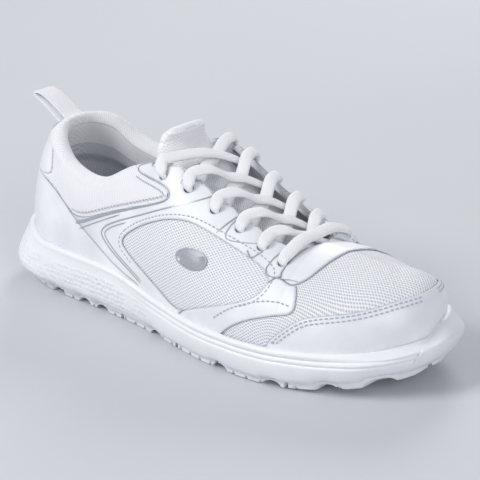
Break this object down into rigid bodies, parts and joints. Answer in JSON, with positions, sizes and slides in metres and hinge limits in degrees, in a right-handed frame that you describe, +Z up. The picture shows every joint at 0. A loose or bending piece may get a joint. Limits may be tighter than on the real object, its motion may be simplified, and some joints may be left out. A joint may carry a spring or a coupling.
{
  "type": "running shoe",
  "caption": "Low-cut right running shoe with mesh upper, smooth overlays, laced throat, padded collar and tongue, foam midsole, rubber treads and a heel pull loop.",
  "frame": {"origin": "on the ground, under the middle of the sole's outline in plan", "axes": "+X towards the toe, +Y towards the inner side of the right foot, +Z up"},
  "size_m": [0.2958, 0.1068, 0.1052],
  "materials": {
    "midsole_foam": "moulded matte foam",
    "outsole_rubber": "moulded satin rubber",
    "board": "pressed fibre sheet",
    "stiffener": "thermoplastic sheet",
    "lining_textile": "brushed knit",
    "padding_foam": "open cell foam",
    "upper_mesh": "knitted air mesh",
    "ankle_mesh": "fine knitted mesh",
    "synthetic_leather": "smooth coated synthetic",
    "silver_print": "silver grey print",
    "lace_cotton": "tubular woven",
    "aglet_plastic": "clear film over lace",
    "webbing": "smooth woven tape"
  },
  "bodies": {
    "rearfoot": {"outsole_heel": "outsole_rubber", "outsole_arch": "outsole_rubber", "outsole_midfoot": "outsole_rubber", "outsole_ball_rear": "outsole_rubber", "midsole": "midsole_foam", "strobel_board": "board", "sockliner": "lining_textile", "heel_counter": "stiffener", "collar_foam": "padding_foam", "collar_lining": "lining_textile", "quarter_mesh_lateral": "upper_mesh", "quarter_mesh_medial": "upper_mesh", "ankle_panel_lateral": "ankle_mesh", "ankle_panel_medial": "ankle_mesh", "saddle_overlay_lateral": "synthetic_leather", "saddle_overlay_medial": "synthetic_leather", "side_band_lateral": "synthetic_leather", "side_band_medial": "synthetic_leather", "side_badge_lateral": "silver_print", "side_badge_medial": "silver_print", "heel_overlay": "synthetic_leather", "heel_patch": "synthetic_leather", "eyelet_backing_lateral": "stiffener", "eyelet_backing_medial": "stiffener", "lace": "lace_cotton", "aglet_outer_end": "aglet_plastic", "aglet_inner_end": "aglet_plastic", "tongue_cover": "upper_mesh", "tongue_foam": "padding_foam", "tongue_lining": "lining_textile"},
    "forefoot": {"outsole_ball_front": "outsole_rubber", "outsole_toe": "outsole_rubber", "toe_bumper": "outsole_rubber", "vamp_mesh": "upper_mesh", "toe_mudguard": "synthetic_leather", "toe_puff": "stiffener", "vamp_lining": "lining_textile", "throat_patch": "synthetic_leather"},
    "tongue_top": {"tongue_top_cover": "upper_mesh", "tongue_top_pad": "lining_textile"},
    "pull_loop": {"pull_loop": "webbing"}
  },
  "joints": [
    {"name": "forefoot_flex", "type": "hinge", "parent": "rearfoot", "child": "forefoot", "pos_m": [0.06, 0, 0.016], "axis": [0, -1, 0], "range_deg": [0, 30], "stiffness_Nm_per_rad": 1.2, "deforming": ["midsole", "strobel_board", "sockliner", "collar_lining", "quarter_mesh_lateral", "quarter_mesh_medial", "saddle_overlay_lateral", "saddle_overlay_medial", "side_band_lateral", "side_band_medial", "side_badge_lateral", "side_badge_medial", "vamp_mesh", "toe_mudguard", "vamp_lining", "throat_patch", "lace", "tongue_cover", "tongue_foam", "tongue_lining", "outsole_ball_rear", "outsole_ball_front", "eyelet_backing_lateral", "eyelet_backing_medial"]},
    {"name": "tongue_top_fold", "type": "hinge", "parent": "rearfoot", "child": "tongue_top", "pos_m": [-0.0055, 0, 0.0865], "axis": [0, 1, 0], "range_deg": [-8, 20], "stiffness_Nm_per_rad": 0.05, "deforming": ["tongue_top_pad", "tongue_top_cover"]},
    {"name": "pull_loop_bend", "type": "hinge", "parent": "rearfoot", "child": "pull_loop", "pos_m": [-0.1175, 0, 0.0935], "axis": [0, 1, 0], "range_deg": [-25, 20], "stiffness_Nm_per_rad": 0.03, "deforming": ["pull_loop"]}
  ]
}
